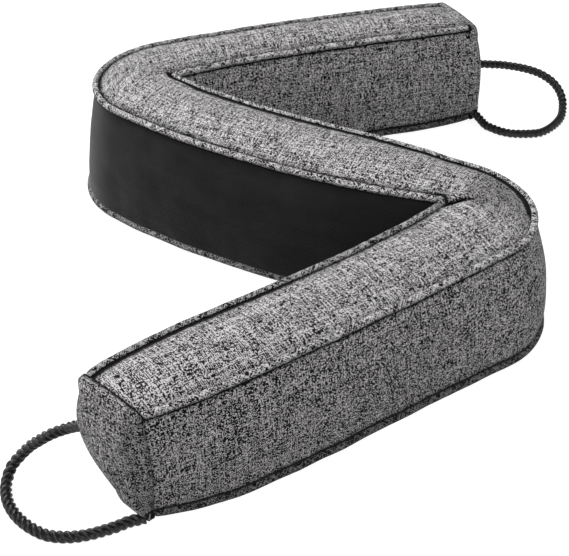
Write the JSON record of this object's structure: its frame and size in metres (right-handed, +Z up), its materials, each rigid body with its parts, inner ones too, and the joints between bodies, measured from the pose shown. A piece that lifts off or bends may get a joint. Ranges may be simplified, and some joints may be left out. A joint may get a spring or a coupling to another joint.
{
  "type": "draught excluder",
  "caption": "Long box-section stuffed fabric strip folded in a zigzag, in grey heather cloth with a side of black loop pile, piped edges and a twisted rope loop at each end.",
  "frame": {"origin": "on the floor, under the middle of the box round the stuffed strip, rope loops left out", "axes": "+Z up; +Y away from the near end towards the far end, along the zigzag's length; +X to the right of the zigzag, where the far end and the right fold lie"},
  "size_m": [0.4022, 0.4982, 0.0947],
  "materials": {
    "heather_grey_cloth": "matt heather weave with slubs",
    "heather_piping_cloth": "matt heather weave round a cord",
    "black_loop_pile": "soft short loop pile",
    "black_twisted_cord": "smooth twisted strands with a slight shine"
  },
  "bodies": {
    "root": {"cover": "heather_grey_cloth", "end_panel_near": "heather_grey_cloth", "end_panel_far": "heather_grey_cloth", "piping_top_grey": "heather_piping_cloth", "piping_top_pile": "heather_piping_cloth", "piping_base_grey": "heather_piping_cloth", "piping_base_pile": "heather_piping_cloth", "pile_side": "black_loop_pile", "rope_loop_near": "black_twisted_cord", "rope_loop_far": "black_twisted_cord"}
  },
  "joints": []
}
